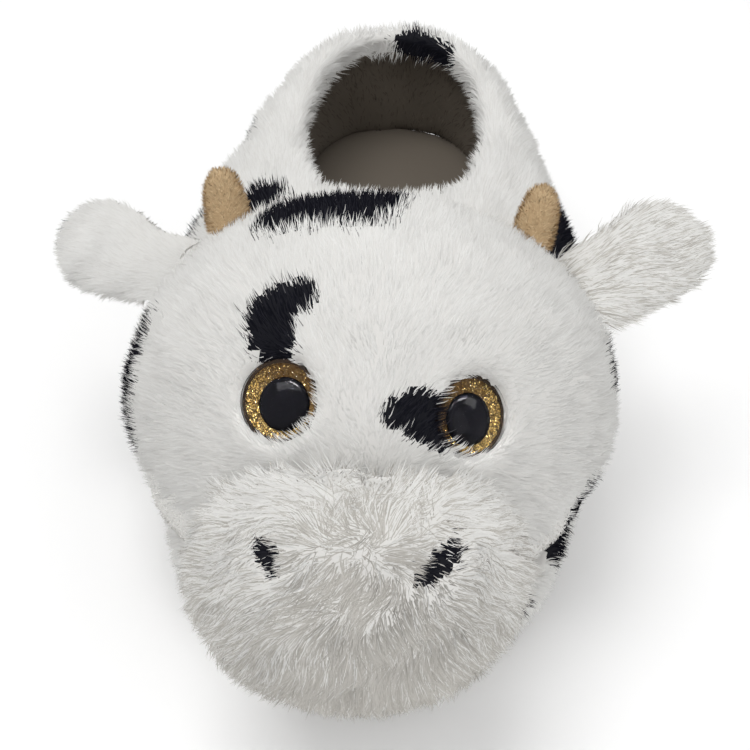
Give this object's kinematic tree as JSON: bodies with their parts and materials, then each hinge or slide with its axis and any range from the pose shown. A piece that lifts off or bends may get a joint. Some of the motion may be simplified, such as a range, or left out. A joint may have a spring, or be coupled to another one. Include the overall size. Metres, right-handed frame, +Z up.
{
  "type": "animal slipper",
  "caption": "Low plush slipper with a stuffed cow's face over the toe, a padded collar and a soft foam sole.",
  "frame": {"origin": "on the floor, under the middle of the slipper's whole length and width", "axes": "+Z up, -Y towards the wearer's toes, +X towards the wearer's left"},
  "size_m": [0.1943, 0.2839, 0.122],
  "materials": {
    "plush": "white pile cloth with printed black spots",
    "plush_long": "longer white pile",
    "lining": "taupe brushed lining",
    "grip_cloth": "woven sole cloth with grip dots",
    "horn_pile": "short tan pile",
    "eye": "black pupil in a gold glitter ring",
    "lens": "clear polished dome"
  },
  "bodies": {
    "root": {"outsole": "grip_cloth", "midsole": "plush", "insole": "lining", "upper": "plush", "face": "plush", "muzzle": "plush_long", "ear_left": "plush", "ear_right": "plush", "horn_left": "horn_pile", "horn_right": "horn_pile", "eye_left": "eye", "eye_right": "eye", "lens_left": "lens", "lens_right": "lens"}
  },
  "joints": []
}
